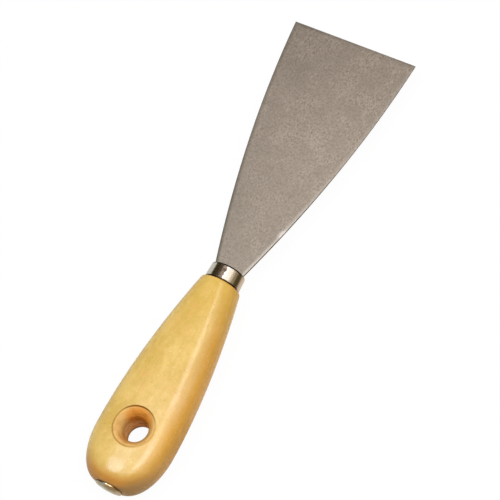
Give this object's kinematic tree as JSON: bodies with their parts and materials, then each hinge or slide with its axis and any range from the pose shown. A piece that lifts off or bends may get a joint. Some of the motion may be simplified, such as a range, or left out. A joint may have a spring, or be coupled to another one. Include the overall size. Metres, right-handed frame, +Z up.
{
  "type": "putty knife",
  "caption": "Flexible putty knife with a flared spring-steel blade, a plated ferrule, an oval hardwood handle with a hang hole, and a domed steel butt button.",
  "frame": {"origin": "under the middle of the knife's length and width, on the level of the handle's lowest point, with the knife lying flat", "axes": "+Y along the knife from the butt to the working edge, +X to the right across the blade, +Z up, square to the flat of the blade"},
  "size_m": [0.05, 0.1916, 0.0171],
  "materials": {
    "blade_steel": "ground spring steel, matte, with a fine mottled grain",
    "ferrule_plating": "bright nickel plating on a drawn steel tube",
    "handle_wood": "honey-coloured close-grained hardwood under clear gloss lacquer",
    "button_steel": "plated steel, satin, slightly dulled"
  },
  "bodies": {
    "root": {"blade": "blade_steel", "ferrule": "ferrule_plating", "handle": "handle_wood", "butt_button": "button_steel"}
  },
  "joints": []
}
